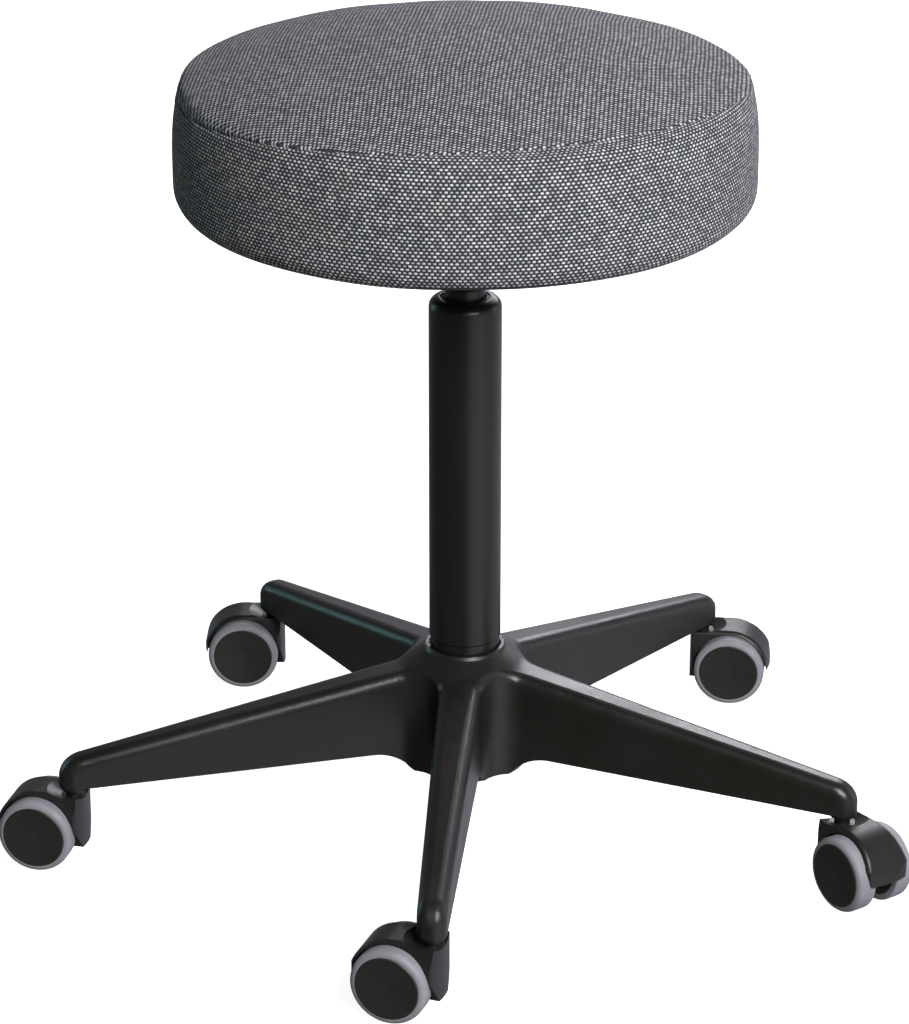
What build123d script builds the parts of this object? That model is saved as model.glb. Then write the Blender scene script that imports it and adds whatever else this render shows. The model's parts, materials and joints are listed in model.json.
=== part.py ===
from build123d import *

import os
from math import cos, hypot, radians, sin, sqrt

# Adjustable swivel stool: five-arm moulded base on hooded twin-wheel castors,
# gas-spring column, round upholstered seat. Millimetres, +Z up. The origin is
# on the floor under the column's axis, and one arm points along -Y.

# ---- driving dimensions -------------------------------------------------
# seat
SEAT_R = 195.5            # widest radius of the upholstered seat
SEAT_BOTTOM = 463.0       # underside of the upholstery, seat at its lowest
SEAM_Z = 546.0            # seam between the side band and the top panel
SHOULDER_R = 188.8        # corner of side and top, before it is rounded
SHOULDER_Z = 549.5
SEAT_TOP = 577.0          # middle of the crowned top
COVER_T = 1.5             # cover fabric with its backing
BOARD_R = 180.0
BOARD_T = 15.0
STAPLE_COUNT = 24

# column
TUBE_R = 25.0             # 50 mm standing tube
TUBE_TOP = 395.0
TUBE_STEP = 144.5         # the tube necks down here to its press-in taper
TUBE_FOOT = 52.0
TUBE_WALL = 2.0
CYLINDER_R = 14.0         # 28 mm gas cylinder
ROD_R = 5.0
STROKE = 195.0            # travel of the gas spring

# base
ARM_COUNT = 5
STEM_CIRCLE_R = 279.5     # castor stems sit on this circle
HUB_TOP = 138.0
HUB_BOTTOM = 50.0
HUB_SKIRT_R = 44.0
ARM_ROOT_HALF = 15.8
ARM_TIP_HALF = 10.0
ARM_TIP_BOTTOM = 59.0

# castors: plan angle from stem to axle of each one, arms counted from the front
CASTOR_ANGLES = (163.6, -51.0, -3.7, 183.3, 170.2)
TRAIL = 22.5
WHEEL_R = 26.5
WHEEL_OUTER = 24.3        # outer face of a wheel, from the castor's middle
WHEEL_INNER = 8.5
DISC_R = 22.2             # wheel core inside the soft tyre
HOOD_HALF = 17.5
WEB_HALF = 7.7
HOOD_R = 30.0
STEM_R = 5.5
AXLE_R = 3.0

RUNNING = 0.05            # radial clearance of parts that turn or slide
GAP = 0.3                 # clearance between other moving neighbours

parts = {}


# ---- helpers --------------------------------------------------------------
def ring_from(*outline):
    """Solid of revolution about Z from straight (radius, height) corners."""
    return revolve(Plane.XZ * make_face(Polyline(*outline, close=True)), Axis.Z)


def cylinder(radius, low, high, x=0.0, y=0.0):
    """Upright cylinder between two heights."""
    return Pos(x, y, low) * extrude(Circle(radius), high - low)


def washer(outer, inner, low, high, x=0.0, y=0.0):
    """Upright ring between two heights."""
    return Pos(x, y, low) * extrude(Circle(outer) - Circle(inner), high - low)


def block(x0, x1, y0, y1, z0, z1):
    """Box from its low and high corners."""
    middle = Pos((x0 + x1) / 2, (y0 + y1) / 2, (z0 + z1) / 2)
    return middle * Box(x1 - x0, y1 - y0, z1 - z0)


def rod_y(radius, y0, y1, x=0.0, z=0.0):
    """Cylinder along Y."""
    return Pos(x, y0, z) * Rot(X=-90) * extrude(Circle(radius), y1 - y0)


def group(solids):
    """Several separate identical pieces held in one node."""
    return Compound(children=[s.solid() for s in solids])


def polar(radius, degrees_):
    return radius * cos(radians(degrees_)), radius * sin(radians(degrees_))


# ---- five-arm base ------------------------------------------------------
ARM_ANGLES = [-90 + 360 / ARM_COUNT * i for i in range(ARM_COUNT)]
STEM_POINTS = [polar(STEM_CIRCLE_R, a) for a in ARM_ANGLES]
ARM_END_R = STEM_CIRCLE_R + ARM_TIP_HALF + 0.5
ARM_RISE = 0.19            # fall of the ridge per millimetre outwards
RIDGE_ROOT = (44.0, 126.0)
ARCH_END = (70.0, 64.0)    # where the arch under the hub meets the level underside
PLAN_FILLET = 22.0
RIDGE_FILLET = 8.0


def ridge_z(radius):
    return RIDGE_ROOT[1] - ARM_RISE * (radius - RIDGE_ROOT[0])


def arm_plan(root_half, tip_half, reach=STEM_CIRCLE_R):
    """Tapered arm outline with a round end, along +X."""
    ends = Circle(root_half).edges() + (Pos(reach, 0) * Circle(tip_half)).edges()
    return make_hull(ends)


def base_envelope():
    """Revolved space between the ridge line and the underside of the arms."""
    step = ARCH_END[0] - HUB_SKIRT_R
    rise = ARCH_END[1] - HUB_BOTTOM
    arch_r = (step**2 + rise**2) / (2 * rise)
    arch_mid = (ARCH_END[0] - step / 2, ARCH_END[1] - arch_r + sqrt(arch_r**2 - step**2 / 4))
    skirt = Line((0, HUB_BOTTOM), (HUB_SKIRT_R, HUB_BOTTOM))
    arch = ThreePointArc(skirt @ 1, arch_mid, ARCH_END)
    rest = Polyline(
        arch @ 1,
        (ARM_END_R, ARM_TIP_BOTTOM),
        (ARM_END_R, ridge_z(ARM_END_R)),
        RIDGE_ROOT,
        (TUBE_R + 4, HUB_TOP - 2),
        (TUBE_R + 2.5, HUB_TOP),
        (0, HUB_TOP),
        (0, HUB_BOTTOM),
    )
    face = make_face(skirt + arch + rest)
    nose = [v for v in face.vertices() if v.X > ARM_END_R - 1 and v.Y > 70]
    face = fillet(nose, 19)
    shoulder = [v for v in face.vertices() if abs(v.X - RIDGE_ROOT[0]) < 1 and v.Y > 100]
    face = fillet(shoulder, 22)
    return revolve(Plane.XZ * face, Axis.Z)


def arm_channel():
    """Ribbed hollow under one arm, along +X."""
    wall = 3.2
    start, end = 56.0, 258.0
    plan = arm_plan(ARM_ROOT_HALF - wall, ARM_TIP_HALF - wall)
    prism = Pos(0, 0, HUB_BOTTOM) * extrude(plan, HUB_TOP)
    side = Polyline(
        (start, HUB_BOTTOM - 1),
        (end, HUB_BOTTOM - 1),
        (end, ridge_z(end) - 5),
        (start, ridge_z(start) - 8),
        close=True,
    )
    slab = extrude(Plane.XZ * make_face(side), 20, both=True)
    channel = prism & slab
    for x in (88, 122, 156, 190, 224):
        channel -= block(x - 1.2, x + 1.2, -20, 20, HUB_BOTTOM + 20, HUB_TOP)
    return channel


def make_base():
    arm = arm_plan(ARM_ROOT_HALF, ARM_TIP_HALF)
    plan = Rot(Z=ARM_ANGLES[0]) * arm
    for angle in ARM_ANGLES[1:]:
        plan += Rot(Z=angle) * arm
    crotches = [v for v in plan.vertices() if 20 < hypot(v.X, v.Y) < 34]
    plan = fillet(crotches, PLAN_FILLET)
    base = Pos(0, 0, HUB_BOTTOM - 1) * extrude(plan, HUB_TOP - HUB_BOTTOM + 2)
    base &= base_envelope()
    ridges = [
        e
        for e in base.edges()
        if e.center().Z > 66 and e.bounding_box().size.Z > 1.0
        and min(hypot(v.X, v.Y) for v in e.vertices()) > 30
        and not (e.bounding_box().size.X < 0.5 and e.bounding_box().size.Y < 0.5)
    ]
    base = fillet(ridges, RIDGE_FILLET)
    channel = arm_channel()
    for angle in ARM_ANGLES:
        base -= Rot(Z=angle) * channel
    base -= ring_from(
        (0, HUB_BOTTOM - 1),
        (tube_taper_r(HUB_BOTTOM - 1), HUB_BOTTOM - 1),
        (tube_taper_r(HUB_TOP - 3), HUB_TOP - 3),
        (TUBE_R + 0.4, HUB_TOP - 3),
        (TUBE_R + 0.4, HUB_TOP + 1),
        (0, HUB_TOP + 1),
    )
    for x, y in STEM_POINTS:
        base -= cylinder(STEM_R, ARM_TIP_BOTTOM - 8, STEM_TOP, x, y)
    parts["star_base"] = base


# ---- standing tube and what it holds ----------------------------------------
def tube_taper_r(z):
    """Outside radius of the press-in taper at a height."""
    top_r, foot_r = TUBE_R - 0.7, TUBE_R - 2.2
    return foot_r + (top_r - foot_r) * (z - TUBE_FOOT) / (TUBE_STEP - TUBE_FOOT)


def make_column():
    foot_plate = 3.0
    cap = 3.5
    mouth_r = 17.0
    inner_r = TUBE_R - TUBE_WALL
    bore_low = TUBE_STEP + 4
    tube = ring_from(
        (6, TUBE_FOOT),
        (tube_taper_r(TUBE_FOOT), TUBE_FOOT),
        (tube_taper_r(TUBE_STEP), TUBE_STEP),
        (TUBE_R, TUBE_STEP + 1),
        (TUBE_R, TUBE_TOP),
        (mouth_r, TUBE_TOP),
        (mouth_r, TUBE_TOP - cap),
        (inner_r, TUBE_TOP - cap - 5),
        (inner_r, bore_low),
        (tube_taper_r(TUBE_FOOT) - TUBE_WALL, TUBE_FOOT + foot_plate),
        (6, TUBE_FOOT + foot_plate),
    )
    rim = [e for e in tube.edges() if abs(e.center().Z - TUBE_TOP) < 0.1 and e.radius > 20]
    parts["column_tube"] = fillet(rim, 7.0)
    parts["guide_bush"] = ring_from(
        (CYLINDER_R + RUNNING, 305),
        (inner_r, 305),
        (inner_r, TUBE_TOP - cap - 6),
        (mouth_r - 0.2, TUBE_TOP - cap),
        (mouth_r - 0.2, TUBE_TOP - 0.8),
        (CYLINDER_R + 1.0, TUBE_TOP + 0.4),
        (CYLINDER_R + RUNNING, TUBE_TOP - 0.6),
    )
    plate_top = TUBE_FOOT + foot_plate
    parts["bearing_lower_race"] = washer(16, 6.5, plate_top, plate_top + 2)
    ball_r = 1.5
    balls = [Pos(*polar(11, a), plate_top + 2 + ball_r) * Sphere(ball_r) for a in range(0, 360, 36)]
    parts["bearing_balls"] = group(balls)
    race_z = plate_top + 2 + 2 * ball_r + 0.2
    rod_foot = HUB_BOTTOM + 0.4
    cylinder_foot = 80.0
    piston_z = cylinder_foot + STROKE + 15
    parts["bearing_upper_race"] = washer(16, ROD_R, race_z, race_z + 2)
    parts["rubber_buffer"] = washer(11, ROD_R, race_z + 2, cylinder_foot - 0.5)
    parts["piston_rod"] = cylinder(ROD_R, rod_foot, piston_z) - washer(
        ROD_R + 1, ROD_R - 0.8, rod_foot + 0.3, rod_foot + 1.3
    )
    clip = washer(8, ROD_R - 0.8, rod_foot + 0.3, rod_foot + 1.3)
    parts["rod_clip"] = clip - block(0, 9, -2.4, 2.4, rod_foot, TUBE_FOOT)
    parts["piston"] = cylinder(11.5 - RUNNING, piston_z, piston_z + 15)
    make_gas_cylinder(cylinder_foot)


CONE_LOW = 408.0           # foot of the locking taper on the cylinder
CONE_TOP = 437.0
CONE_TOP_R = 13.2
PIN_R = 4.0


def make_gas_cylinder(foot):
    guide_top = foot + 12
    body = ring_from(
        (0, foot),
        (CYLINDER_R, foot),
        (CYLINDER_R, CONE_LOW),
        (CONE_TOP_R, CONE_TOP),
        (0, CONE_TOP),
    )
    body -= cylinder(11.5, foot - 1, CONE_LOW + 7)
    parts["gas_cylinder"] = body - cylinder(PIN_R + RUNNING, CONE_TOP - 11, CONE_TOP + 1)
    parts["rod_guide"] = washer(11.5, ROD_R + RUNNING, foot, guide_top)
    pin = cylinder(PIN_R, CONE_TOP - 7, CONE_TOP + 2) + cylinder(1.5, CONE_TOP + 2, LEVER_Z - 4 - GAP)
    parts["release_pin"] = pin


# ---- castors ---------------------------------------------------------------
STEM_FOOT = 24.0
STEM_TOP = 75.0
RING_Z = 38.0              # snap ring that holds the castor on its stem


def make_stems():
    stem = cylinder(STEM_R, ARM_TIP_BOTTOM, STEM_TOP)
    stem += cylinder(8.5, ARM_TIP_BOTTOM - 2.5, ARM_TIP_BOTTOM)
    stem += cylinder(STEM_R, STEM_FOOT, ARM_TIP_BOTTOM - 2.5)
    stem = chamfer(stem.edges().group_by(Axis.Z)[0] + stem.edges().group_by(Axis.Z)[-1], 0.8)
    stem -= washer(STEM_R + 1, STEM_R - 0.8, RING_Z, RING_Z + 1.2)
    snap = washer(STEM_R + 0.25, STEM_R - 0.8, RING_Z, RING_Z + 1.2)
    snap -= block(0, 9, -1.5, 1.5, RING_Z - 1, RING_Z + 2)
    parts["castor_stems"] = group([Pos(x, y, 0) * stem for x, y in STEM_POINTS])
    parts["snap_rings"] = group([Pos(x, y, 0) * snap for x, y in STEM_POINTS])


def hood_plan():
    """Outline of the hood from above: straight sides, gently bowed ends."""
    front, rear = -8.6, TRAIL + HOOD_R
    bow = 3.0
    outline = ThreePointArc((front + bow, -HOOD_HALF), (front, 0), (front + bow, HOOD_HALF))
    outline += Line((front + bow, HOOD_HALF), (rear - bow, HOOD_HALF))
    outline += ThreePointArc((rear - bow, HOOD_HALF), (rear, 0), (rear - bow, -HOOD_HALF))
    outline += Line((rear - bow, -HOOD_HALF), (front + bow, -HOOD_HALF))
    face = make_face(outline)
    return fillet(face.vertices(), 3.5)


def hood_front_view():
    """Outline of the hood from the front: narrow top, flared cheeks, lower edge dropping to the web."""
    top = WHEEL_R + HOOD_R
    half = [(14.5, top), (HOOD_HALF, 40), (HOOD_HALF, 31), (WEB_HALF, 15)]
    return make_face(Polyline(*half, *[(-y, z) for y, z in reversed(half)], close=True))


def make_hood():
    """Castor body along +X from its stem: hood, front shield, web between the wheels, stem boss."""
    front, rear = -9.0, TRAIL + HOOD_R
    top = WHEEL_R + HOOD_R
    side = Polyline((rear, WHEEL_R), (2, WHEEL_R), (2, 15), (front, 15), (front, top), (TRAIL, top))
    side += CenterArc((TRAIL, WHEEL_R), HOOD_R, 0, 90)
    hood = extrude(Plane.XZ * make_face(side), HOOD_HALF + 1, both=True)
    hood &= Pos(front - 5, 0, 0) * extrude(Plane.YZ * hood_front_view(), 80)
    rims = [
        e
        for e in hood.edges()
        if abs(e.center().Y) > 13 and e.center().Z > WHEEL_R + 12 and e.bounding_box().size.X > 8
        and abs(e.center().Y) < HOOD_HALF - 0.1
    ]
    hood = fillet(rims, 4.0) & extrude(hood_plan(), 80)
    for side_sign in (-1, 1):
        well = rod_y(WHEEL_R + 1.2, WEB_HALF, 40, TRAIL, WHEEL_R)
        hood -= well if side_sign > 0 else mirror(well, Plane.XZ)
    hood += rod_y(10.5, -WEB_HALF, WEB_HALF, TRAIL, WHEEL_R)
    hood += cylinder(WEB_HALF, STEM_FOOT - 4, WHEEL_R + 10)
    hood -= ring_from((0, 51.5), (9.0, 51.5), (19.5, top + 0.5), (19.5, top + 4), (0, top + 4))
    hood -= cylinder(STEM_R + RUNNING, STEM_FOOT - 1, 60)
    hood -= washer(STEM_R + 0.6, STEM_R - 1, RING_Z - GAP, RING_Z + 1.2 + GAP)
    return hood - rod_y(AXLE_R, -20, 20, TRAIL, WHEEL_R)


def make_wheel():
    """Core and tyre of one wheel, on the +Y side, turning about its own Y axis."""
    bore_end = 20.0
    core = Polyline(
        (AXLE_R + RUNNING, WHEEL_INNER),
        (8, WHEEL_INNER),
        (8, 18.5),
        (18, 18.5),
        (18, WHEEL_INNER + 1),
        (DISC_R, WHEEL_INNER + 1),
        (DISC_R, WHEEL_OUTER - 0.8),
        (DISC_R - 0.8, WHEEL_OUTER),
        (DISC_R - 3.0, WHEEL_OUTER - 0.2),
        (0, WHEEL_OUTER - 1.6),
        (0, bore_end),
        (AXLE_R + RUNNING, bore_end),
        close=True,
    )
    tyre = Polyline(
        (DISC_R, WHEEL_INNER + 0.6),
        (WHEEL_R, WHEEL_INNER + 0.6),
        (WHEEL_R, WHEEL_OUTER - 0.6),
        (DISC_R, WHEEL_OUTER - 0.6),
        close=True,
    )
    tyre = make_face(tyre)
    corners = tyre.vertices().group_by(Axis.X)[-1].sort_by(Axis.Y)
    tyre = fillet(corners[0], 1.5)
    corners = tyre.vertices().group_by(Axis.X)[-1].sort_by(Axis.Y)
    tyre = fillet(corners[-1], 4.0)
    return revolve(make_face(core), Axis.Y), revolve(tyre, Axis.Y)


def make_castors():
    hood = make_hood()
    axle = rod_y(AXLE_R, -19.5, 19.5, TRAIL, WHEEL_R)
    core, tyre = make_wheel()
    wheel_place = Pos(TRAIL, 0, WHEEL_R)
    for index, ((x, y), angle) in enumerate(zip(STEM_POINTS, CASTOR_ANGLES), start=1):
        place = Pos(x, y, 0) * Rot(Z=angle)
        parts[f"castor_hood_{index}"] = place * hood
        parts[f"castor_axle_{index}"] = place * axle
        for side, turn in (("left", 0), ("right", 180)):
            spot = place * wheel_place * Rot(Z=turn)
            parts[f"wheel_core_{index}_{side}"] = spot * core
            parts[f"tyre_{index}_{side}"] = spot * tyre


# ---- seat -----------------------------------------------------------------
PLATE_TOP = SEAT_BOTTOM - 0.8
PLATE_T = 3.0
PLATE_HALF = 85.0
BOLT_OFFSET = 70.0
BOLT_POINTS = [(BOLT_OFFSET * i, BOLT_OFFSET * j) for i in (-1, 1) for j in (-1, 1)]
LEVER_Z = 445.0
PIVOT_X = 24.0


def crown_height(radius, edge_r, edge_z, top):
    """Height of the crowned top, an arc from its edge to its middle."""
    drop = top - edge_z
    arc_r = (edge_r**2 + drop**2) / (2 * drop)
    return top - arc_r + sqrt(arc_r**2 - radius**2)


def seat_solid(inset):
    """Crowned seat shape, drawn in by a wall thickness."""
    side_r = SEAT_R - inset
    edge_r = SHOULDER_R - inset
    edge_z = SHOULDER_Z - inset
    top = SEAT_TOP - inset
    floor = SEAT_BOTTOM + inset
    outline = Line((0, floor), (side_r, floor))
    outline += Line((side_r, floor), (side_r, floor + 30))
    outline += ThreePointArc((side_r, floor + 30), (side_r - 1.1, floor + 60), (edge_r, edge_z))
    mid_z = crown_height(edge_r / 2, edge_r, edge_z, top)
    outline += ThreePointArc((edge_r, edge_z), (edge_r / 2, mid_z), (0, top))
    outline += Line((0, top), (0, floor))
    face = make_face(outline)
    rim = face.vertices().group_by(Axis.Y)[0].sort_by(Axis.X)[-1]
    face = fillet(rim, 14.0 - inset)
    shoulder = face.vertices().sort_by(lambda v: abs(v.X - edge_r) + abs(v.Y - edge_z))[0]
    face = fillet(shoulder, 8.0 - inset)
    return revolve(Plane.XZ * face, Axis.Z)


def make_upholstery():
    outer = seat_solid(0)
    inner = seat_solid(COVER_T)
    above_seam = cylinder(SEAT_R + 5, SEAM_Z, SEAT_TOP + 5)
    board_low = SEAT_BOTTOM + COVER_T
    board_top = board_low + BOARD_T
    skin = outer - inner
    hem = cylinder(BOARD_R - 8, SEAT_BOTTOM - 1, board_low + 0.1)
    parts["cover_top_panel"] = skin & above_seam
    parts["cover_side_band"] = skin - above_seam - hem
    bolt_holes = [cylinder(3.0, SEAT_BOTTOM - 5, board_top + 1, x, y) for x, y in BOLT_POINTS]
    nut_holes = [cylinder(4.5, board_top - 11, board_top + 1, x, y) for x, y in BOLT_POINTS]
    board = cylinder(BOARD_R, board_low, board_top)
    dust = cylinder(BOARD_R - 4, PLATE_TOP, SEAT_BOTTOM) + cylinder(BOARD_R - 8.5, SEAT_BOTTOM, board_low)
    for hole, nut_hole in zip(bolt_holes, nut_holes):
        board -= hole + nut_hole
        dust -= hole
    parts["seat_board"] = board
    parts["dust_cover"] = dust
    foam = inner - cylinder(BOARD_R, board_low - 1, board_top)
    nuts = []
    for x, y in BOLT_POINTS:
        flange = cylinder(9, board_top, board_top + 1.5, x, y)
        foam -= flange
        foam -= cylinder(4.0, board_top, board_top + 4, x, y)
        nuts.append((flange + cylinder(4.5, board_top - 11, board_top, x, y))
                    - cylinder(3.0, board_top - 12, board_top + 2, x, y))
    parts["seat_foam"] = foam
    parts["t_nuts"] = group(nuts)
    make_plate_bolts(board_top)
    staple = Pos(BOARD_R - 6, 0, PLATE_TOP - 0.3) * Box(1.3, 11, 0.6)
    turns = [360 / STAPLE_COUNT * (i + 0.5) for i in range(STAPLE_COUNT)]
    parts["staples"] = group([Rot(Z=a) * staple for a in turns])


def make_plate_bolts(board_top):
    plate_low = PLATE_TOP - PLATE_T
    bolts, washers = [], []
    for x, y in BOLT_POINTS:
        head = Pos(x, y, plate_low - 5.6) * extrude(RegularPolygon(5.8, 6), 4)
        bolts.append(head + cylinder(3.0, plate_low - 1.6, board_top + 0.5, x, y))
        washers.append(washer(6.5, 3.0, plate_low - 1.6, plate_low, x, y))
    parts["plate_bolts"] = group(bolts)
    parts["plate_washers"] = group(washers)


def make_mechanism():
    """Pressed plate, locking socket, lever bracket and release lever."""
    plate_low = PLATE_TOP - PLATE_T
    socket_low = CONE_LOW - 4
    blank = chamfer(Rectangle(2 * PLATE_HALF, 2 * PLATE_HALF).vertices(), 24)
    for x, y in BOLT_POINTS:
        blank -= Pos(x, y) * Circle(3.0)
    for angle in (45, 135, 225, 315):
        blank -= Rot(Z=angle) * Pos(52, 0) * Circle(11)
    parts["seat_plate"] = Pos(0, 0, plate_low) * extrude(blank, PLATE_T)
    socket = cylinder(20, socket_low, plate_low)
    socket = chamfer(socket.edges().group_by(Axis.Z)[0], 2)
    socket -= ring_from(
        (0, socket_low - 1),
        (CYLINDER_R, socket_low - 1),
        (CYLINDER_R, CONE_LOW),
        (CONE_TOP_R, CONE_TOP),
        (CONE_TOP_R, plate_low + 1),
        (0, plate_low + 1),
    )
    socket -= block(8, 22, -5.5, 5.5, LEVER_Z - 6.5, LEVER_Z + 6.5)
    parts["socket_cone"] = socket
    ear = block(PIVOT_X - 3.5, PIVOT_X + 8, 4.6, 7.6, LEVER_Z - 7, plate_low)
    ear += block(PIVOT_X - 3.5, PIVOT_X + 8, 4.6, 14, plate_low - 3, plate_low)
    ear -= rod_y(2.5, 0, 20, PIVOT_X, LEVER_Z)
    parts["lever_bracket"] = group([ear, mirror(ear, Plane.XZ)])
    pivot = rod_y(2.5, -8.6, 8.6, PIVOT_X, LEVER_Z)
    pivot += rod_y(4.2, -10, -8.6, PIVOT_X, LEVER_Z) + rod_y(4.2, 8.6, 10, PIVOT_X, LEVER_Z)
    parts["pivot_pin"] = pivot
    make_lever()


def make_lever():
    grip_start, grip_end = 128.0, 170.0
    bar = Pos(-3, 0, LEVER_Z) * Rot(Y=90) * extrude(Circle(4), grip_end - 2 + 3)
    bar &= block(-10, 200, -4, 4, LEVER_Z - 4, LEVER_Z + 4)
    bar += rod_y(5.5, -4.2, 4.2, PIVOT_X, LEVER_Z)
    parts["release_lever"] = bar - rod_y(2.5 + RUNNING, -6, 6, PIVOT_X, LEVER_Z)
    grip = Pos(grip_start, 0, LEVER_Z) * Rot(Y=90) * extrude(Circle(6.2), grip_end - grip_start)
    grip = fillet(grip.edges().group_by(Axis.X)[-1], 3.0)
    parts["lever_grip"] = grip - Pos(0, 0, LEVER_Z) * Rot(Y=90) * extrude(Circle(4), grip_end - 2)


make_base()
make_column()
make_stems()
make_castors()
make_upholstery()
make_mechanism()

os.makedirs("parts", exist_ok=True)
for node, shape in parts.items():
    shape.label = node
    export_step(shape, f"parts/{node}.step")
print(len(parts), "nodes")
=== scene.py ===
import json
from math import atan2, cos, exp, hypot, pi, radians, sin, sinh

import bpy
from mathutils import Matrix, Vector, noise


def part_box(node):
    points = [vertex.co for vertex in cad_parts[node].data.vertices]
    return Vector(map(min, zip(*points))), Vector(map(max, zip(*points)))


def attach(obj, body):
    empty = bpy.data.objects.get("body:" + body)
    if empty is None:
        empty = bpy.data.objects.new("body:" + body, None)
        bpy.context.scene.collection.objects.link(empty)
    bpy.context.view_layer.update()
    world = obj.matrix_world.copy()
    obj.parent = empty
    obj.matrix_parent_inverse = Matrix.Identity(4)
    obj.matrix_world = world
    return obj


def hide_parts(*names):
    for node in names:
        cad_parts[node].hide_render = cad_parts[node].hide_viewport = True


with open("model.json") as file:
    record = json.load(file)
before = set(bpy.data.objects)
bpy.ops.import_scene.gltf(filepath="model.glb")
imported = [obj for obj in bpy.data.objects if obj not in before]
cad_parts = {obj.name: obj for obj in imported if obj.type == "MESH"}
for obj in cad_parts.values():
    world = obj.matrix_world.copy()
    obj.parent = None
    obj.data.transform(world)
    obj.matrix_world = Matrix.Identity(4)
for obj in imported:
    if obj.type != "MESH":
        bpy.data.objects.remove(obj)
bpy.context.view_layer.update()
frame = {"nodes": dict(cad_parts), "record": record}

band_low, band_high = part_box("cover_side_band")
panel_low, panel_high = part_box("cover_top_panel")
board_low, board_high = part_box("seat_board")

SEAT_R = band_high.x           # widest radius of the upholstery
SEAT_LOW = band_low.z
SEAM_Z = panel_low.z
SEAT_TOP = panel_high.z
BOARD_R = board_high.x
DRAWN_IN = 0.0067              # how far the band leans in by its top
SHOULDER_R = SEAT_R - DRAWN_IN # corner of side and top, before it is rounded
SHOULDER_Z = SEAM_Z + 0.0035
UPRIGHT_TO = SEAT_LOW + 0.030  # the band is upright below this height
REACH = 0.0042                 # the corner is rounded this far to either side
ROUND = 0.0077                 # length over the rounding

DOT_PITCH = 2 * pi * SEAT_R / 355   # along a row of the weave, a whole number of times round
ROW_PITCH = 0.0023


def corner_ends():
    """(radius, height) where the rounded corner starts on the band and ends on the top."""
    lean = atan2(2.85 * DRAWN_IN, SHOULDER_Z - UPRIGHT_TO)
    rise = atan2(2 * (SEAT_TOP - SHOULDER_Z), SHOULDER_R)
    low = (SHOULDER_R + REACH * sin(lean), SHOULDER_Z - REACH * cos(lean))
    high = (SHOULDER_R - REACH * cos(rise), SHOULDER_Z + REACH * sin(rise))
    return low, high


# ---- materials ------------------------------------------------------------
class Shader:
    """A node material with one Principled surface."""

    def __init__(self, name):
        self.material = bpy.data.materials.new(name)
        self.material.use_nodes = True
        self.tree = self.material.node_tree
        self.tree.nodes.clear()
        self.position = self.node("TexCoord").outputs["Object"]

    def node(self, kind, inputs=None, **settings):
        made = self.tree.nodes.new("ShaderNode" + kind)
        for key, value in settings.items():
            setattr(made, key, value)
        for key, value in (inputs or {}).items():
            if isinstance(value, bpy.types.NodeSocket):
                self.tree.links.new(value, made.inputs[key])
            else:
                made.inputs[key].default_value = value
        return made

    def math(self, operation, a, b=0.0, c=0.0):
        return self.node("Math", {0: a, 1: b, 2: c}, operation=operation).outputs[0]

    def noise(self, scale, detail=3.0, roughness=0.5, stretch=None):
        """Noise value over the object, with the number of features in a metre."""
        where = self.position
        if stretch:
            where = self.node("VectorMath", {0: where, 1: stretch}, operation="MULTIPLY").outputs[0]
        inputs = {"Vector": where, "Scale": scale, "Detail": detail, "Roughness": roughness}
        return self.node("TexNoise", inputs).outputs["Fac"]

    def remap(self, value, low, high, out_low, out_high):
        inputs = {0: value, 1: low, 2: high, 3: out_low, 4: out_high}
        return self.node("MapRange", inputs).outputs[0]

    def mix(self, factor, a, b):
        a, b = [(*c, 1.0) if isinstance(c, tuple) else c for c in (a, b)]
        return self.node("Mix", {0: factor, 6: a, 7: b}, data_type="RGBA").outputs[2]

    def bump(self, height, distance, strength=1.0, below=None):
        inputs = {"Height": height, "Distance": distance, "Strength": strength}
        if below:
            inputs["Normal"] = below
        return self.node("Bump", inputs).outputs[0]

    def surface(self, **inputs):
        named = {key.replace("_", " "): value for key, value in inputs.items()}
        for key, value in named.items():
            if isinstance(value, tuple):
                named[key] = (*value, 1.0)
        bsdf = self.node("BsdfPrincipled", named)
        out = self.node("OutputMaterial")
        self.tree.links.new(bsdf.outputs[0], out.inputs[0])
        return self.material


def moulded(name, colour, dusty, roughness, grain=900.0, depth=0.00006, specular=0.5, wear=0.35):
    """Moulded plastic: fine grain, slightly uneven gloss, faint handling marks."""
    s = Shader(name)
    cloud = s.noise(14.0, 4.0, 0.6)
    marks = s.remap(s.noise(95.0, 5.0, 0.7, (1.0, 1.0, 0.35)), 0.55, 0.8, 0.0, wear)
    grained = s.noise(grain, 2.0, 0.6)
    gloss = s.remap(cloud, 0.3, 0.7, roughness - 0.06, roughness + 0.06)
    gloss = s.math("ADD", gloss, s.math("MULTIPLY", marks, 0.25))
    base = s.mix(s.remap(cloud, 0.35, 0.7, 0.0, 0.35), colour, dusty)
    base = s.mix(s.math("MULTIPLY", marks, 0.5), base, dusty)
    waves = s.bump(s.noise(30.0, 2.0), 0.0006, 0.25)
    return s.surface(
        Base_Color=base,
        Roughness=gloss,
        Specular_IOR_Level=specular,
        Normal=s.bump(grained, depth, 0.7, waves),
    )


def metal(name, colour, tarnish, roughness, stretch=(1.0, 1.0, 1.0), scale=260.0):
    """Drawn or plated metal with fine lines and dull patches."""
    s = Shader(name)
    lines = s.noise(scale, 3.0, 0.6, stretch)
    patches = s.noise(45.0, 4.0, 0.6)
    gloss = s.remap(lines, 0.3, 0.7, roughness - 0.07, roughness + 0.1)
    base = s.mix(s.remap(patches, 0.4, 0.75, 0.0, 0.8), colour, tarnish)
    return s.surface(
        Base_Color=base,
        Metallic=1.0,
        Roughness=gloss,
        Normal=s.bump(lines, 0.00003, 0.6),
    )


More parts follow.
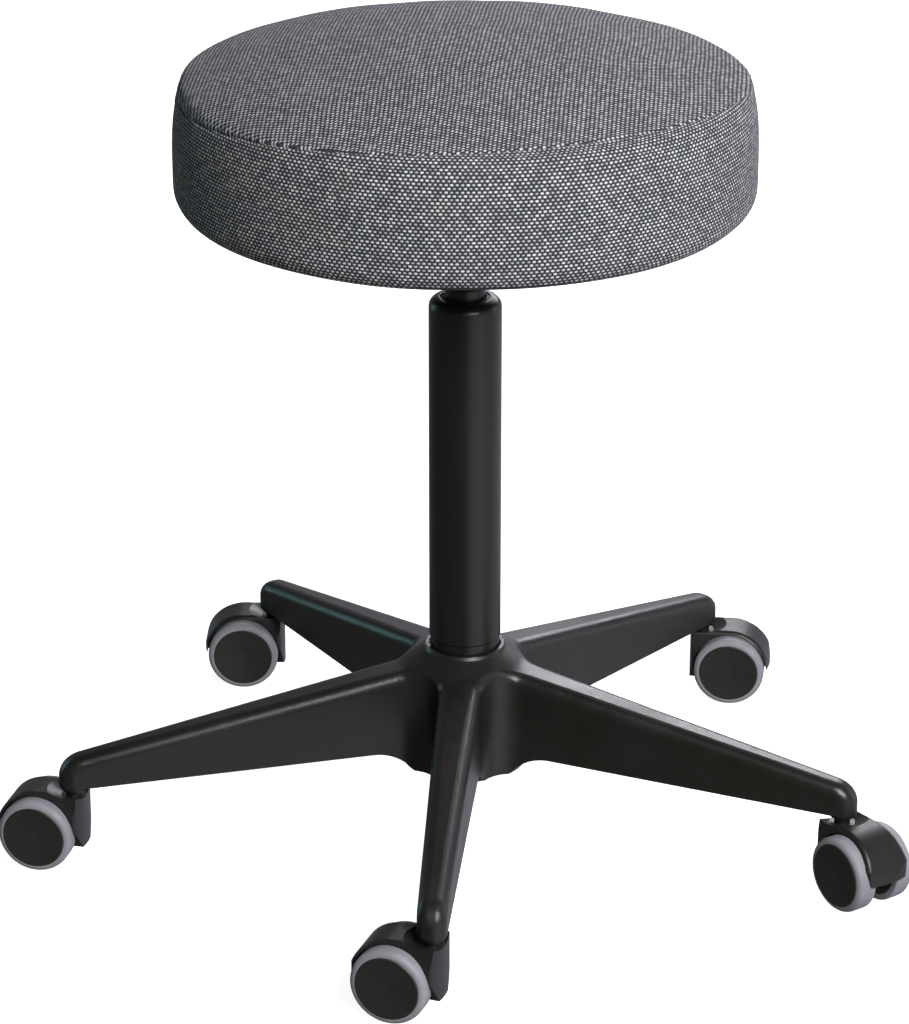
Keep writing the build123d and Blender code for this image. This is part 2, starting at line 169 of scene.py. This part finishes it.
def painted(name, colour, dusty, roughness):
    """Powder-coated steel: shallow orange peel and a few fine scratches along the tube."""
    s = Shader(name)
    peel = s.noise(620.0, 2.0, 0.5)
    cloud = s.noise(18.0, 3.0, 0.5, (1.0, 1.0, 0.3))
    scratches = s.remap(s.noise(420.0, 2.0, 0.5, (1.0, 1.0, 0.03)), 0.68, 0.76, 0.0, 0.3)
    gloss = s.remap(cloud, 0.3, 0.7, roughness - 0.04, roughness + 0.05)
    base = s.mix(s.remap(cloud, 0.4, 0.7, 0.0, 0.3), colour, dusty)
    base = s.mix(scratches, base, dusty)
    return s.surface(
        Base_Color=base,
        Roughness=gloss,
        Specular_IOR_Level=0.5,
        Normal=s.bump(peel, 0.00005, 0.5),
    )


def rubber(name, colour, dusty, roughness=0.62):
    """Soft tread or buffer: matte, with a fine grain and a dusty bloom."""
    s = Shader(name)
    bloom = s.noise(60.0, 4.0, 0.6)
    base = s.mix(s.remap(bloom, 0.35, 0.75, 0.0, 0.8), colour, dusty)
    return s.surface(
        Base_Color=base,
        Roughness=s.remap(bloom, 0.3, 0.7, roughness - 0.08, roughness + 0.08),
        Specular_IOR_Level=0.4,
        Normal=s.bump(s.noise(1500.0, 2.0), 0.00005, 0.6),
    )


def plywood(name):
    """Birch plywood: face grain on top, stacked plies round the edge."""
    s = Shader(name)
    grain = s.noise(60.0, 6.0, 0.65, (0.08, 1.0, 1.0))
    z = s.node("SeparateXYZ", {0: s.position}).outputs["Z"]
    ply = s.math("SINE", s.math("MULTIPLY", z, 2 * pi / 0.003))
    face = s.mix(s.remap(grain, 0.3, 0.7, 0.0, 1.0), (0.62, 0.44, 0.26), (0.42, 0.27, 0.14))
    base = s.mix(s.remap(ply, -0.2, 0.4, 0.0, 0.35), face, (0.33, 0.2, 0.1))
    return s.surface(Base_Color=base, Roughness=0.7, Normal=s.bump(grain, 0.0002, 0.5))


def dust_cloth(name):
    """Thin non-woven cloth under the seat, point-bonded in a small diamond grid."""
    s = Shader(name)
    parts = s.node("SeparateXYZ", {0: s.position}).outputs
    along = s.math("SINE", s.math("MULTIPLY", s.math("ADD", parts["X"], parts["Y"]), 2 * pi / 0.0024))
    across = s.math("SINE", s.math("MULTIPLY", s.math("SUBTRACT", parts["X"], parts["Y"]), 2 * pi / 0.0024))
    bonds = s.math("MULTIPLY", along, across)
    fibres = s.noise(700.0, 4.0, 0.7)
    cloud = s.noise(20.0, 3.0)
    base = s.mix(s.remap(fibres, 0.35, 0.7, 0.0, 1.0), (0.008, 0.008, 0.009), (0.03, 0.03, 0.033))
    height = s.math("ADD", s.math("MULTIPLY", bonds, 0.5), fibres)
    return s.surface(
        Base_Color=base,
        Roughness=s.remap(cloud, 0.3, 0.7, 0.8, 0.95),
        Specular_IOR_Level=0.25,
        Normal=s.bump(height, 0.00015, 0.8),
    )


def up_the_cover(s, x, y, z):
    """Length up the band and inwards over the rounded corner, in shader nodes."""
    (low_r, low_z), (high_r, high_z) = corner_ends()
    slack = ROUND / (high_z - low_z + low_r - high_r)
    flat = s.math("SQRT", s.math("ADD", s.math("MULTIPLY", x, x), s.math("MULTIPLY", y, y)))
    rise = s.math("SUBTRACT", z, low_z)
    inwards = s.math("SUBTRACT", low_r, flat)
    wall = s.math("MINIMUM", rise, 0.0)
    rise = s.remap(rise, 0.0, high_z - low_z, 0.0, slack * (high_z - low_z))
    turn = s.remap(inwards, 0.0, low_r - high_r, 0.0, slack * (low_r - high_r))
    rest = s.math("MAXIMUM", s.math("SUBTRACT", high_r, flat), 0.0)
    return s.math("ADD", s.math("ADD", wall, rise), s.math("ADD", turn, rest))


def seat_cloth(name, wrapped):
    """Staggered light floats on a dark ground. Wrapped runs round the band, otherwise flat on the top."""
    s = Shader(name)
    parts = s.node("SeparateXYZ", {0: s.position}).outputs
    x, y, z = parts["X"], parts["Y"], parts["Z"]
    drift = s.math("MULTIPLY", s.math("SUBTRACT", s.noise(9.0, 2.0), 0.5), 0.004)
    if wrapped:
        u = s.math("MULTIPLY", s.math("ARCTAN2", y, x), SEAT_R)
        v = s.math("ADD", up_the_cover(s, x, y, z), s.math("MULTIPLY", drift, 0.35))
    else:
        turn = atan2(DOT_PITCH / 2, ROW_PITCH)
        x = s.math("ADD", x, drift)
        u = s.math("ADD", s.math("MULTIPLY", x, cos(turn)), s.math("MULTIPLY", y, sin(turn)))
        v = s.math("SUBTRACT", s.math("MULTIPLY", y, cos(turn)), s.math("MULTIPLY", x, sin(turn)))
    rows = s.math("DIVIDE", v, ROW_PITCH)
    row = s.math("FLOOR", rows)
    shift = s.math("MULTIPLY", s.math("FLOORED_MODULO", row, 2.0), 0.5)
    cols = s.math("ADD", s.math("DIVIDE", u, DOT_PITCH), shift)
    col = s.math("FLOOR", cols)
    cell = s.node("CombineXYZ", {0: col, 1: row}).outputs[0]
    chance = s.node("TexWhiteNoise", {"Vector": cell}, noise_dimensions="3D").outputs
    du = s.math("MULTIPLY", s.math("SUBTRACT", s.math("SUBTRACT", cols, col), 0.5), DOT_PITCH / 0.00115)
    dv = s.math("MULTIPLY", s.math("SUBTRACT", s.math("SUBTRACT", rows, row), 0.5), ROW_PITCH / 0.00078)
    away = s.math("SQRT", s.math("ADD", s.math("MULTIPLY", du, du), s.math("MULTIPLY", dv, dv)))
    away = s.math("ADD", away, s.remap(chance["Value"], 0.0, 1.0, -0.06, 0.22))
    fibre = s.noise(2600.0, 2.0, 0.7)
    away = s.math("ADD", away, s.remap(fibre, 0.3, 0.7, -0.15, 0.15))
    dot = s.node("MapRange", {0: away, 1: 1.2, 2: 0.65, 3: 0.0, 4: 1.0}, interpolation_type="SMOOTHSTEP")
    dot = dot.outputs[0]
    warp = s.math("SINE", s.math("MULTIPLY", cols, 4 * pi))
    ground = s.mix(s.remap(warp, -1.0, 1.0, 0.0, 1.0), GROUND_DARK, GROUND_LIGHT)
    mottle = s.noise(55.0, 5.0, 0.65)
    ground = s.mix(s.remap(mottle, 0.3, 0.7, 0.0, 0.6), ground, GROUND_WARM)
    tone = s.node("SeparateColor", {0: chance["Color"]}).outputs
    light = s.mix(s.remap(tone[0], 0.0, 1.0, 0.0, 1.0), FLOAT_LIGHT, FLOAT_DULL)
    light = s.mix(s.remap(mottle, 0.4, 0.75, 0.0, 0.45), light, FLOAT_WARM)
    base = s.mix(dot, ground, light)
    height = s.math("ADD", s.math("MULTIPLY", dot, 0.8), s.math("MULTIPLY", fibre, 0.35))
    height = s.math("ADD", height, s.math("MULTIPLY", warp, 0.12))
    return s.surface(
        Base_Color=base,
        Roughness=s.remap(fibre, 0.3, 0.7, 0.8, 0.95),
        Specular_IOR_Level=0.2,
        Sheen_Weight=0.05,
        Sheen_Roughness=0.5,
        Sheen_Tint=(0.75, 0.8, 1.0),
        Normal=s.bump(height, 0.0005, 0.75),
    )


GROUND_DARK = (0.018, 0.024, 0.036)
GROUND_LIGHT = (0.050, 0.060, 0.080)
GROUND_WARM = (0.070, 0.060, 0.066)
FLOAT_LIGHT = (0.80, 0.80, 0.80)
FLOAT_DULL = (0.50, 0.50, 0.53)
FLOAT_WARM = (0.62, 0.54, 0.50)

finishes = {
    "base_nylon": moulded("base_nylon", (0.013, 0.012, 0.010), (0.030, 0.028, 0.027), 0.36),
    "hood_plastic": moulded("hood_plastic", (0.014, 0.013, 0.012), (0.034, 0.032, 0.033), 0.40, 1300.0),
    "disc_plastic": moulded("disc_plastic", (0.020, 0.021, 0.018), (0.040, 0.041, 0.037), 0.5, 1600.0),
    "soft_tyre": rubber("soft_tyre", (0.36, 0.35, 0.40), (0.26, 0.25, 0.28), 0.55),
    "column_paint": painted("column_paint", (0.011, 0.010, 0.009), (0.022, 0.022, 0.020), 0.32),
    "spring_paint": painted("spring_paint", (0.010, 0.010, 0.010), (0.020, 0.020, 0.020), 0.25),
    "black_steel": painted("black_steel", (0.013, 0.013, 0.013), (0.030, 0.028, 0.027), 0.42),
    "bush_plastic": moulded("bush_plastic", (0.012, 0.012, 0.012), (0.03, 0.03, 0.03), 0.45, 1500.0),
    "plain_steel": metal("plain_steel", (0.55, 0.54, 0.52), (0.33, 0.31, 0.29), 0.32),
    "zinc_steel": metal("zinc_steel", (0.62, 0.62, 0.64), (0.42, 0.43, 0.42), 0.38, scale=140.0),
    "chrome_rod": metal("chrome_rod", (0.75, 0.75, 0.76), (0.6, 0.6, 0.6), 0.16, (1.0, 1.0, 0.05)),
    "buffer_rubber": rubber("buffer_rubber", (0.016, 0.016, 0.016), (0.035, 0.034, 0.033)),
    "plywood": plywood("plywood"),
    "foam": rubber("foam", (0.55, 0.5, 0.38), (0.45, 0.4, 0.3), 0.9),
    "dust_cloth": dust_cloth("dust_cloth"),
    "grip_plastic": moulded("grip_plastic", (0.012, 0.012, 0.012), (0.03, 0.03, 0.03), 0.42, 1400.0),
}
band_cloth = seat_cloth("seat_cloth_band", True)
top_cloth = seat_cloth("seat_cloth_top", False)

for entry in frame["record"]["subparts"]:
    node = frame["nodes"][entry["node"]]
    finish = finishes.get(entry["material_slot"], band_cloth)
    node.data.materials.clear()
    node.data.materials.append(finish)


# ---- seat cushion -----------------------------------------------------------
SEGMENTS = 192
DISC_RINGS = SEGMENTS // 8
START_INSET = 0.0012           # the cushion starts this much small and swells to size
MOST_SWELL = 0.0008
CORNER_LOW, CORNER_HIGH = corner_ends()
BOTTOM_CORNER = 0.014
BAND_ROWS, TOP_ROWS = 23, 18   # rows of the mesh either side of the seam
ROW_SPREAD, ROW_GROWTH = 0.0032, 0.16
TOP_SPACING = 0.007            # from the last of those rows to the grid over the top
PUFF_FRAMES = 20


def wall_radius(z):
    """Radius of the band at a height: upright below, drawn in towards the top."""
    t = max(0.0, (z - UPRIGHT_TO) / (SHOULDER_Z - UPRIGHT_TO))
    return SEAT_R - DRAWN_IN * t**2.85


def crown(radius):
    """Height of the crowned top at a radius."""
    return SHOULDER_Z + (SEAT_TOP - SHOULDER_Z) * (1 - (radius / SHOULDER_R) ** 2)


def section(s):
    """(radius, height) at a length over the cover, from the top of the band inwards."""
    if s <= 0:
        z = CORNER_LOW[1] + s
        return wall_radius(z), z
    if s >= ROUND:
        radius = CORNER_HIGH[0] - (s - ROUND)
        return radius, crown(radius)
    t = s / ROUND
    weights = ((1 - t) ** 2, 2 * t * (1 - t), t * t)
    corners = (CORNER_LOW, (SHOULDER_R, SHOULDER_Z), CORNER_HIGH)
    return tuple(sum(w * c[i] for w, c in zip(weights, corners)) for i in (0, 1))


def length_over(flat, z):
    """The length over the cover of a point on it."""
    if z <= CORNER_LOW[1]:
        return z - CORNER_LOW[1]
    if flat <= CORNER_HIGH[0]:
        return ROUND + CORNER_HIGH[0] - flat
    up = (z - CORNER_LOW[1]) / (CORNER_HIGH[1] - CORNER_LOW[1])
    inwards = (CORNER_LOW[0] - flat) / (CORNER_LOW[0] - CORNER_HIGH[0])
    return ROUND * max(0.0, min(1.0, (up + inwards) / 2))


def seam_length(around):
    """Where the seam runs over the cover: it sits skewed, furthest in at the front right."""
    return -0.008 + 0.024 * ((1 + cos(around + radians(62))) / 2) ** 3


def follow_seam(s, around):
    """Draws a row of the mesh along with the seam, less the further it is from it."""
    t = min(1.0, max(0.0, (abs(s) - 0.004) / 0.060))
    return s + seam_length(around) * (1 - t * t * (3 - 2 * t))


def cushion_mesh():
    """Closed cushion: quads in rings up the band and in a concentric grid over the top."""
    verts, faces = [], []

    def ring(place, count=SEGMENTS):
        """Ring of points, place giving (radius, height) at an angle."""
        start = len(verts)
        for k in range(count):
            a = 2 * pi * k / count
            radius, z = place(a)
            verts.append((radius * cos(a), radius * sin(a), z))
        return start

    def bridge(a, b):
        for k in range(SEGMENTS):
            n = (k + 1) % SEGMENTS
            faces.append((a + k, a + n, b + n, b + k))

    inside_r = BOARD_R + 0.0005
    hem_r = BOARD_R - 0.0075
    hidden = [
        (0.05, board_high.z + 0.0002),
        (0.12, board_high.z + 0.0002),
        (inside_r, board_high.z + 0.0002),
        (inside_r, board_low.z - 0.0001),
        (hem_r, board_low.z - 0.0001),
        (hem_r, SEAT_LOW + 0.0002),
        (BOARD_R - 0.003, SEAT_LOW + 0.0001),
    ]
    rows = [(BOARD_R + 0.0005, SEAT_LOW + 0.0001)]
    for step in range(6):
        a = radians(-84 + 84 * step / 5)
        rows.append((SEAT_R - BOTTOM_CORNER * (1 - cos(a)), SEAT_LOW + BOTTOM_CORNER * (1 + sin(a))))
    rings = [ring(lambda a, at=at: at) for at in hidden + rows]
    lengths = [ROW_SPREAD * sinh(ROW_GROWTH * i) for i in range(-BAND_ROWS, TOP_ROWS + 1)]
    for s in lengths:
        rings.append(ring(lambda a, s=s: section(follow_seam(s, a))))
    seam_ring = rings[-TOP_ROWS - 1]
    for a, b in zip(rings, rings[1:]):
        bridge(a, b)
    verts.append((0.0, 0.0, board_high.z + 0.0002))
    for k in range(SEGMENTS):
        faces.append((rings[0] + (k + 1) % SEGMENTS, rings[0] + k, len(verts) - 1))
    inner_s = lengths[-1] + TOP_SPACING
    inner_r = section(inner_s)[0]
    outer_count, outer = SEGMENTS, rings[-1]
    here = ring(lambda a: section(follow_seam(inner_s, a)))
    bridge(outer, here)
    outer = here
    for level in range(DISC_RINGS - 1, 0, -1):
        s = inner_s + inner_r * (1 - level / DISC_RINGS)
        count = 8 * level
        here = ring(lambda a, s=s: section(follow_seam(s, a)), count)
        side_out, side_in = outer_count // 4, count // 4
        for side in range(4):
            for k in range(side_out - 1):
                a = outer + (side * side_out + k) % outer_count
                b = outer + (side * side_out + k + 1) % outer_count
                if k == 0:
                    corner_in = here + (side * side_in) % count
                    before = outer + (side * side_out - 1) % outer_count
                    faces.append((before, a, b, corner_in))
                else:
                    c = here + (side * side_in + k) % count
                    d = here + (side * side_in + k - 1) % count
                    faces.append((a, b, c, d))
        outer_count, outer = count, here
    verts.append((0.0, 0.0, SEAT_TOP))
    for k in range(0, 8, 2):
        faces.append((outer + k, outer + k + 1, outer + (k + 2) % 8, len(verts) - 1))
    return verts, faces, seam_ring, len(hidden)


def make_cushion():
    verts, faces, seam_ring, hidden = cushion_mesh()
    drawn = [Vector(v) for v in verts]
    held = [i < hidden * SEGMENTS or seam_ring <= i < seam_ring + SEGMENTS for i in range(len(verts))]
    mesh = bpy.data.meshes.new("seat_cushion")
    mesh.from_pydata([tuple(v) for v in drawn], [], faces)
    mesh.update()
    cushion = bpy.data.objects.new("seat_cushion", mesh)
    bpy.context.scene.collection.objects.link(cushion)
    for v in mesh.vertices:
        flat = hypot(v.co.x, v.co.y)
        if v.index >= hidden * SEGMENTS and flat > 1e-6:
            keep = 1 - START_INSET / max(flat, 0.05) * min(flat / 0.15, 1.0)
            lift = START_INSET * max(0.0, min(1.0, (v.co.z - SEAM_Z) / 0.01))
            v.co = Vector((v.co.x * keep, v.co.y * keep, v.co.z - lift))
    puff(cushion, held, drawn)
    return cushion


def puff(cushion, held, drawn):
    """Inflates the cushion as cloth, then limits how far any point ended from its drawn place."""
    scene = bpy.context.scene
    group = cushion.vertex_groups.new(name="held")
    group.add([i for i, fixed in enumerate(held) if fixed], 1.0, "REPLACE")
    cloth = cushion.modifiers.new("puff", "CLOTH")
    cloth.settings.quality = 6
    cloth.settings.mass = 0.3
    cloth.settings.tension_stiffness = 25
    cloth.settings.compression_stiffness = 25
    cloth.settings.shear_stiffness = 8
    cloth.settings.bending_stiffness = 2.0
    cloth.settings.use_pressure = True
    cloth.settings.uniform_pressure_force = 4.0
    cloth.settings.vertex_group_mass = "held"
    cloth.settings.effector_weights.gravity = 0.0
    cloth.collision_settings.use_collision = False
    cloth.point_cache.frame_start, cloth.point_cache.frame_end = 1, PUFF_FRAMES
    for f in range(1, PUFF_FRAMES + 1):
        scene.frame_set(f)
    evaluated = cushion.evaluated_get(bpy.context.evaluated_depsgraph_get())
    swollen = [v.co.copy() for v in evaluated.data.vertices]
    cushion.modifiers.remove(cloth)
    scene.frame_set(1)
    for v, new, place in zip(cushion.data.vertices, swollen, drawn):
        move = new - place
        if move.length > MOST_SWELL:
            move *= MOST_SWELL / move.length
        v.co = place + move
    cushion.data.update()


def smooth_once(obj):
    """One subdivision, applied."""
    level = obj.modifiers.new("smooth", "SUBSURF")
    level.levels = level.render_levels = 1
    evaluated = obj.evaluated_get(bpy.context.evaluated_depsgraph_get())
    mesh = bpy.data.meshes.new_from_object(evaluated)
    obj.modifiers.remove(level)
    obj.data = mesh


def past_seam(place):
    """Length over the cover from the seam, positive on the top panel's side."""
    return length_over(hypot(place.x, place.y), place.z) - seam_length(atan2(place.y, place.x))


def sew(cushion):
    """Turned seam: a fine groove with small puckers either side, and soft unevenness over the cloth."""
    moves = []
    for v in cushion.data.vertices:
        x, y, z = v.co
        if hypot(x, y) < BOARD_R + 0.003 and z < board_high.z + 0.001:
            continue
        around = atan2(y, x)
        off = past_seam(v.co)
        pucker = noise.noise(Vector((cos(around), sin(around), 0.0)) * 26.0)
        groove = -0.0008 * exp(-((off / 0.0008) ** 2))
        roll = 0.00035 * exp(-(((abs(off) - 0.0026) / 0.0016) ** 2))
        gather = 0.00040 * pucker * exp(-((off / 0.009) ** 2))
        broad = 0.0008 * noise.noise(Vector((x, y, z)) * 16.0)
        moves.append((v, v.normal * (groove + roll + gather + broad)))
    for v, move in moves:
        v.co += move


def finish_cushion(cushion):
    mesh = cushion.data
    mesh.materials.clear()
    mesh.materials.append(band_cloth)
    mesh.materials.append(top_cloth)
    for face in mesh.polygons:
        face.use_smooth = True
        face.material_index = 1 if face.center.z > UPRIGHT_TO and past_seam(face.center) > 0 else 0
    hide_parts("cover_top_panel", "cover_side_band", "seat_foam")
    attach(cushion, "seat")


cushion = make_cushion()
smooth_once(cushion)
sew(cushion)
finish_cushion(cushion)


# ---- floor, light and camera ------------------------------------------------
def make_floor():
    bpy.ops.mesh.primitive_plane_add(size=24, location=(0, 0, 0))
    floor = bpy.context.object
    floor.name = "studio_floor"
    s = Shader("studio_paper")
    mist = s.noise(3.0, 2.0)
    floor.data.materials.append(s.surface(
        Base_Color=s.mix(s.remap(mist, 0.3, 0.7, 0.0, 1.0), (0.90, 0.90, 0.90), (0.93, 0.93, 0.93)),
        Roughness=0.9,
        Specular_IOR_Level=0.1,
        Emission_Color=(1.0, 1.0, 1.0),
        Emission_Strength=0.88,
    ))
    floor.visible_diffuse = False
    floor.visible_glossy = False


def soft_light(name, azimuth, elevation, distance, size, power, colour=(1.0, 1.0, 1.0)):
    """Rectangular soft box aimed at the middle of the object."""
    a, e = radians(azimuth), radians(elevation)
    middle = Vector((0.0, 0.0, 0.30))
    way = Vector((cos(a) * cos(e), sin(a) * cos(e), sin(e)))
    lamp = bpy.data.lights.new(name, "AREA")
    lamp.shape = "RECTANGLE"
    lamp.size, lamp.size_y = size
    lamp.energy = power
    lamp.color = colour
    holder = bpy.data.objects.new(name, lamp)
    holder.location = middle + way * distance
    holder.rotation_euler = (-way).to_track_quat("-Z", "Y").to_euler()
    bpy.context.scene.collection.objects.link(holder)


def make_world():
    """Surroundings: paler behind on the right, dim elsewhere and overhead, a bounce from low front right."""
    world = bpy.data.worlds.new("studio")
    world.use_nodes = True
    tree = world.node_tree
    tree.nodes.clear()
    way = tree.nodes.new("ShaderNodeTexCoord").outputs["Generated"]

    def blend(direction, low, high, out_low, out_high):
        dot = tree.nodes.new("ShaderNodeVectorMath")
        dot.operation = "DOT_PRODUCT"
        tree.links.new(way, dot.inputs[0])
        dot.inputs[1].default_value = direction
        ramp = tree.nodes.new("ShaderNodeMapRange")
        ramp.interpolation_type = "SMOOTHSTEP"
        tree.links.new(dot.outputs["Value"], ramp.inputs[0])
        for i, value in enumerate((low, high, out_low, out_high), start=1):
            ramp.inputs[i].default_value = value
        return ramp.outputs[0]

    sideways = blend((0.77, 0.64, 0.0), -0.2, 0.95, 0.0, 1.0)
    overhead = blend((0.0, 0.0, 1.0), -0.1, 0.8, 1.0, 0.25)
    bounce = blend((0.64, -0.66, -0.39), 0.80, 0.99, 0.0, 0.62)
    mix = tree.nodes.new("ShaderNodeMix")
    mix.data_type = "RGBA"
    tree.links.new(sideways, mix.inputs[0])
    mix.inputs[6].default_value = (0.11, 0.11, 0.10, 1.0)
    mix.inputs[7].default_value = (0.52, 0.50, 0.58, 1.0)
    back = tree.nodes.new("ShaderNodeBackground")
    lifted = tree.nodes.new("ShaderNodeMix")
    lifted.data_type = "RGBA"
    lifted.blend_type = "ADD"
    lifted.inputs[0].default_value = 1.0
    tree.links.new(mix.outputs[2], lifted.inputs[6])
    tree.links.new(bounce, lifted.inputs[7])
    tree.links.new(lifted.outputs[2], back.inputs[0])
    tree.links.new(overhead, back.inputs[1])
    out = tree.nodes.new("ShaderNodeOutputWorld")
    tree.links.new(back.outputs[0], out.inputs[0])
    bpy.context.scene.world = world


CAMERA_PLACE = (0.1828, -2.4427, 1.2603)
CAMERA_TILT, CAMERA_TURN = 67.32, 4.45
CAMERA_LENS = 134.8


def make_camera():
    data = bpy.data.cameras.new("camera")
    data.lens = CAMERA_LENS
    data.sensor_width = 36.0
    data.clip_start, data.clip_end = 0.05, 60.0
    camera = bpy.data.objects.new("camera", data)
    camera.location = CAMERA_PLACE
    camera.rotation_euler = (radians(CAMERA_TILT), 0.0, radians(CAMERA_TURN))
    bpy.context.scene.collection.objects.link(camera)
    bpy.context.scene.camera = camera


make_floor()
make_world()
soft_light("key", -60.0, 34.0, 2.4, (0.8, 1.1), 60.0, (1.0, 0.99, 0.99))
soft_light("rim", 20.0, 12.0, 2.2, (0.12, 1.6), 2.5, (0.93, 0.90, 1.0))
soft_light("fill", 152.0, 6.0, 2.4, (0.14, 1.4), 5.0, (0.45, 0.92, 1.0))
soft_light("back", 78.0, 24.0, 2.4, (1.3, 0.35), 24.0, (0.96, 0.94, 1.0))
make_camera()

scene = bpy.context.scene
scene.view_settings.view_transform = "Standard"
scene.view_settings.look = "None"
